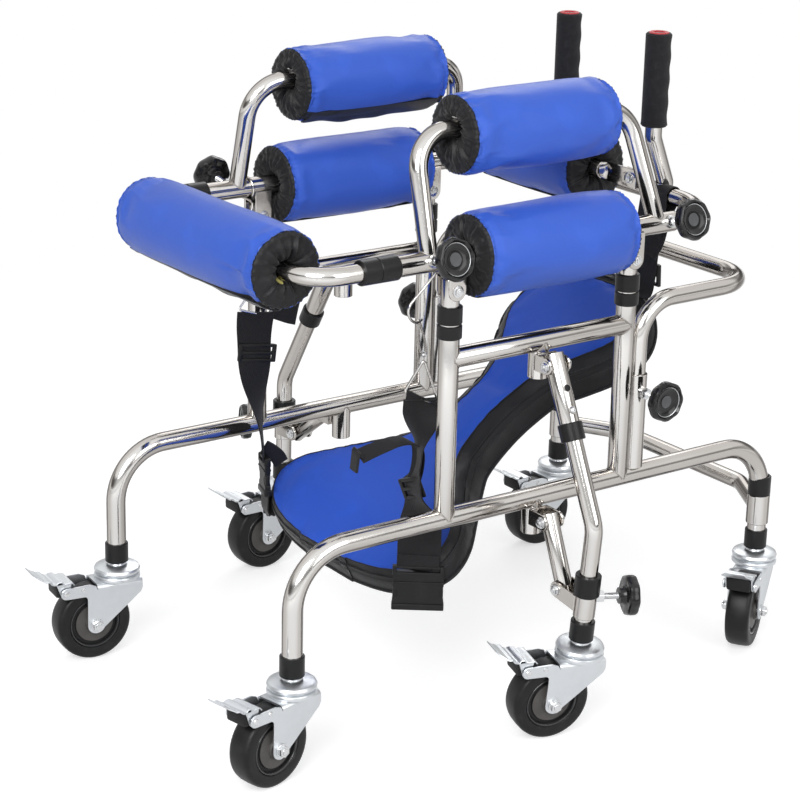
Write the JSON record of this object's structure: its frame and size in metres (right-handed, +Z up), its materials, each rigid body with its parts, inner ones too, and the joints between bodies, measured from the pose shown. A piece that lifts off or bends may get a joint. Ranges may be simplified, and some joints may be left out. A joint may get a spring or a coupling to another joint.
{
  "type": "child standing frame",
  "caption": "Wheeled standing and walking frame for a child: padded ring on telescoping posts, hanging seat, braked swivel casters and two braced outriggers.",
  "frame": {"origin": "on the floor, under the middle of the bounding box", "axes": "+Z up; the child faces -Y; +X is the right side as seen from in front of the child"},
  "size_m": [0.7568, 0.9238, 0.806],
  "materials": {
    "chrome": "bright nickel or chrome plate",
    "zinc": "bright zinc plate",
    "steel": "bare spring steel",
    "knob_plastic": "moulded black plastic",
    "tread": "dark grey thermoplastic rubber",
    "foam": "black foam rubber",
    "webbing": "black woven webbing",
    "pad_fabric": "blue coated nylon over foam, black gathered ends"
  },
  "bodies": {
    "base": {"side_frame_right": "chrome", "side_frame_left": "chrome", "rear_cross_bar": "chrome"},
    "ring": {"ring_frame_right": "chrome", "ring_frame_left": "chrome", "height_post_front_right": "chrome", "height_post_rear_right": "chrome", "height_post_front_left": "chrome", "height_post_rear_left": "chrome", "armpit_pad_right": "pad_fabric", "armpit_pad_left": "pad_fabric", "side_pad_right": "pad_fabric", "side_pad_left": "pad_fabric", "rear_pad": "pad_fabric", "rear_pad_bar": "chrome", "seat_sling": "pad_fabric"},
    "front_arm": {"front_arm": "chrome", "front_pad": "pad_fabric"},
    "rear_arm": {"rear_arm": "chrome", "handle_grip_right": "foam", "handle_grip_left": "foam", "rear_strap_right": "webbing", "rear_strap_left": "webbing"},
    "push_bar": {"push_bar": "chrome"},
    "outrigger_right": {"outrigger_tube_right": "chrome", "outrigger_leg_right": "chrome"},
    "outrigger_button_right": {"snap_button_right": "steel"},
    "outrigger_sleeve_right": {"outrigger_sleeve_right": "chrome"},
    "outrigger_strut_right": {"outrigger_strut_right": "chrome"},
    "front_arm_knob_right": {"front_arm_knob_right": "knob_plastic"},
    "rear_arm_knob_right": {"rear_arm_knob_right": "knob_plastic"},
    "push_bar_knob_right": {"push_bar_knob_right": "knob_plastic"},
    "outrigger_knob_right": {"outrigger_knob_right": "knob_plastic"},
    "outrigger_left": {"outrigger_tube_left": "chrome", "outrigger_leg_left": "chrome"},
    "outrigger_button_left": {"snap_button_left": "steel"},
    "outrigger_sleeve_left": {"outrigger_sleeve_left": "chrome"},
    "outrigger_strut_left": {"outrigger_strut_left": "chrome"},
    "front_arm_knob_left": {"front_arm_knob_left": "knob_plastic"},
    "rear_arm_knob_left": {"rear_arm_knob_left": "knob_plastic"},
    "push_bar_knob_left": {"push_bar_knob_left": "knob_plastic"},
    "outrigger_knob_left": {"outrigger_knob_left": "knob_plastic"},
    "caster_front_right": {"caster_fork_front_right": "zinc"},
    "wheel_front_right": {"caster_wheel_front_right": "tread"},
    "pedal_front_right": {"brake_pedal_front_right": "zinc"},
    "caster_rear_right": {"caster_fork_rear_right": "zinc"},
    "wheel_rear_right": {"caster_wheel_rear_right": "tread"},
    "pedal_rear_right": {"brake_pedal_rear_right": "zinc"},
    "caster_middle_right": {"caster_fork_middle_right": "zinc"},
    "wheel_middle_right": {"caster_wheel_middle_right": "tread"},
    "pedal_middle_right": {"brake_pedal_middle_right": "zinc"},
    "caster_front_left": {"caster_fork_front_left": "zinc"},
    "wheel_front_left": {"caster_wheel_front_left": "tread"},
    "pedal_front_left": {"brake_pedal_front_left": "zinc"},
    "caster_rear_left": {"caster_fork_rear_left": "zinc"},
    "wheel_rear_left": {"caster_wheel_rear_left": "tread"},
    "pedal_rear_left": {"brake_pedal_rear_left": "zinc"},
    "caster_middle_left": {"caster_fork_middle_left": "zinc"},
    "wheel_middle_left": {"caster_wheel_middle_left": "tread"},
    "pedal_middle_left": {"brake_pedal_middle_left": "zinc"}
  },
  "joints": [
    {"name": "ring_height", "type": "slide", "parent": "base", "child": "ring", "axis": [0, 0, 1], "range_m": [0, 0.15]},
    {"name": "front_arm_depth", "type": "slide", "parent": "ring", "child": "front_arm", "axis": [0, -1, 0], "range_m": [0, 0.08]},
    {"name": "rear_arm_depth", "type": "slide", "parent": "ring", "child": "rear_arm", "axis": [0, 1, 0], "range_m": [0, 0.06]},
    {"name": "push_bar_height", "type": "slide", "parent": "base", "child": "push_bar", "axis": [0, 0, 1], "range_m": [-0.01, 0.045]},
    {"name": "outrigger_swing_right", "type": "hinge", "parent": "base", "child": "outrigger_right", "pos_m": [0.25665, 0.01094, 0.454], "axis": [0, -1, 0], "range_deg": [-1, 6]},
    {"name": "outrigger_sleeve_slide_right", "type": "slide", "parent": "outrigger_right", "child": "outrigger_sleeve_right", "axis": [-0.0958, 0, -0.9954], "range_m": [-0.0148, 0.0033]},
    {"name": "outrigger_strut_swing_right", "type": "hinge", "parent": "base", "child": "outrigger_strut_right", "pos_m": [0.25965, 0.01094, 0.256], "axis": [0, -1, 0], "range_deg": [-5, 25]},
    {"name": "snap_button_press_right", "type": "slide", "parent": "outrigger_right", "child": "outrigger_button_right", "axis": [-0.9051, 0.0523, -0.422], "range_m": [0, 0.003], "stiffness_N_per_m": 400, "springref_m": -0.001},
    {"name": "front_arm_knob_turn_right", "type": "hinge", "parent": "ring", "child": "front_arm_knob_right", "pos_m": [0.22365, -0.16106, 0.597], "axis": [0.9613, 0, 0.2756], "range_deg": [0, 720]},
    {"name": "rear_arm_knob_turn_right", "type": "hinge", "parent": "ring", "child": "rear_arm_knob_right", "pos_m": [0.22365, 0.19894, 0.597], "axis": [0.9613, 0, 0.2756], "range_deg": [0, 720]},
    {"name": "push_bar_knob_turn_right", "type": "hinge", "parent": "base", "child": "push_bar_knob_right", "pos_m": [0.22365, 0.17094, 0.386], "axis": [1, 0, 0], "range_deg": [0, 720]},
    {"name": "outrigger_knob_turn_right", "type": "hinge", "parent": "outrigger_sleeve_right", "child": "outrigger_knob_right", "pos_m": [0.33259, 0.01094, 0.18222], "axis": [0.3889, 0.9205, -0.0374], "range_deg": [0, 720]},
    {"name": "outrigger_swing_left", "type": "hinge", "parent": "base", "child": "outrigger_left", "pos_m": [-0.22335, 0.01094, 0.454], "axis": [0, 1, 0], "range_deg": [-3, 1]},
    {"name": "outrigger_sleeve_slide_left", "type": "slide", "parent": "outrigger_left", "child": "outrigger_sleeve_left", "axis": [-0.0087, 0, -1], "range_m": [-0.0049, 0.0127]},
    {"name": "outrigger_strut_swing_left", "type": "hinge", "parent": "base", "child": "outrigger_strut_left", "pos_m": [-0.22635, 0.01094, 0.256], "axis": [0, 1, 0], "range_deg": [-14.95, 5.65]},
    {"name": "snap_button_press_left", "type": "slide", "parent": "outrigger_left", "child": "outrigger_button_left", "axis": [0.856, -0.0523, -0.5143], "range_m": [0, 0.003], "stiffness_N_per_m": 400, "springref_m": -0.001},
    {"name": "front_arm_knob_turn_left", "type": "hinge", "parent": "ring", "child": "front_arm_knob_left", "pos_m": [-0.19035, -0.16106, 0.597], "axis": [-0.9903, 0, 0.1392], "range_deg": [0, 720]},
    {"name": "rear_arm_knob_turn_left", "type": "hinge", "parent": "ring", "child": "rear_arm_knob_left", "pos_m": [-0.19035, 0.19894, 0.597], "axis": [-0.9903, 0, 0.1392], "range_deg": [0, 720]},
    {"name": "push_bar_knob_turn_left", "type": "hinge", "parent": "base", "child": "push_bar_knob_left", "pos_m": [-0.19035, 0.17094, 0.386], "axis": [-1, 0, 0], "range_deg": [0, 720]},
    {"name": "outrigger_knob_turn_left", "type": "hinge", "parent": "outrigger_sleeve_left", "child": "outrigger_knob_left", "pos_m": [-0.33238, 0.01094, 0.2128], "axis": [-0.3907, -0.9205, 0.0034], "range_deg": [0, 720]},
    {"name": "swivel_front_right", "type": "hinge", "parent": "base", "child": "caster_front_right", "pos_m": [0.22365, -0.33966, 0.1253], "axis": [0, 0, 1], "continuous": true},
    {"name": "wheel_spin_front_right", "type": "hinge", "parent": "caster_front_right", "child": "wheel_front_right", "pos_m": [0.23081, -0.37647, 0.05], "axis": [0.9816, 0.1908, 0], "continuous": true},
    {"name": "brake_press_front_right", "type": "hinge", "parent": "caster_front_right", "child": "pedal_front_right", "pos_m": [0.23844, -0.41574, 0.0993], "axis": [0.9816, 0.1908, 0], "range_deg": [0, 10]},
    {"name": "swivel_rear_right", "type": "hinge", "parent": "base", "child": "caster_rear_right", "pos_m": [0.22365, 0.40154, 0.1253], "axis": [0, 0, 1], "continuous": true},
    {"name": "wheel_spin_rear_right", "type": "hinge", "parent": "caster_rear_right", "child": "wheel_rear_right", "pos_m": [0.24408, 0.37009, 0.05], "axis": [0.8387, 0.5446, 0], "continuous": true},
    {"name": "brake_press_rear_right", "type": "hinge", "parent": "caster_rear_right", "child": "pedal_rear_right", "pos_m": [0.26586, 0.33654, 0.0993], "axis": [0.8387, 0.5446, 0], "range_deg": [0, 10]},
    {"name": "swivel_middle_right", "type": "hinge", "parent": "outrigger_right", "child": "caster_middle_right", "pos_m": [0.3271, 0.01094, 0.12519], "axis": [0.0958, 0, 0.9954], "continuous": true},
    {"name": "wheel_spin_middle_right", "type": "hinge", "parent": "caster_middle_right", "child": "wheel_middle_right", "pos_m": [0.31149, -0.0256, 0.05104], "axis": [0.9699, -0.225, -0.0934], "continuous": true},
    {"name": "brake_press_middle_right", "type": "hinge", "parent": "caster_middle_right", "child": "pedal_middle_right", "pos_m": [0.30725, -0.06457, 0.10098], "axis": [0.9699, -0.225, -0.0934], "range_deg": [0, 10]},
    {"name": "swivel_front_left", "type": "hinge", "parent": "base", "child": "caster_front_left", "pos_m": [-0.19035, -0.33966, 0.1253], "axis": [0, 0, 1], "continuous": true},
    {"name": "wheel_spin_front_left", "type": "hinge", "parent": "caster_front_left", "child": "wheel_front_left", "pos_m": [-0.19492, -0.37688, 0.05], "axis": [0.9925, -0.1219, 0], "continuous": true},
    {"name": "brake_press_front_left", "type": "hinge", "parent": "caster_front_left", "child": "pedal_front_left", "pos_m": [-0.19979, -0.41658, 0.0993], "axis": [0.9925, -0.1219, 0], "range_deg": [0, 10]},
    {"name": "swivel_rear_left", "type": "hinge", "parent": "base", "child": "caster_rear_left", "pos_m": [-0.19035, 0.40154, 0.1253], "axis": [0, 0, 1], "continuous": true},
    {"name": "wheel_spin_rear_left", "type": "hinge", "parent": "caster_rear_left", "child": "wheel_rear_left", "pos_m": [-0.19035, 0.36404, 0.05], "axis": [1, 0, 0], "continuous": true},
    {"name": "brake_press_rear_left", "type": "hinge", "parent": "caster_rear_left", "child": "pedal_rear_left", "pos_m": [-0.19035, 0.32404, 0.0993], "axis": [1, 0, 0], "range_deg": [0, 10]},
    {"name": "swivel_middle_left", "type": "hinge", "parent": "outrigger_left", "child": "caster_middle_left", "pos_m": [-0.33314, 0.01094, 0.12542], "axis": [0.0087, 0, 1], "continuous": true},
    {"name": "wheel_spin_middle_left", "type": "hinge", "parent": "caster_middle_left", "child": "wheel_middle_left", "pos_m": [-0.33249, -0.02654, 0.05012], "axis": [0.9994, 0.0349, -0.0087], "continuous": true},
    {"name": "brake_press_middle_left", "type": "hinge", "parent": "caster_middle_left", "child": "pedal_middle_left", "pos_m": [-0.33067, -0.06651, 0.0994], "axis": [0.9994, 0.0349, -0.0087], "range_deg": [0, 10]}
  ],
  "couplings": [
    {"joint": "outrigger_sleeve_slide_right", "follows": "outrigger_swing_right", "m_per_rad": -0.13178},
    {"joint": "outrigger_strut_swing_right", "follows": "outrigger_swing_right", "ratio": 4},
    {"joint": "outrigger_sleeve_slide_left", "follows": "outrigger_swing_left", "m_per_rad": -0.22345},
    {"joint": "outrigger_strut_swing_left", "follows": "outrigger_swing_left", "ratio": 4.65}
  ]
}
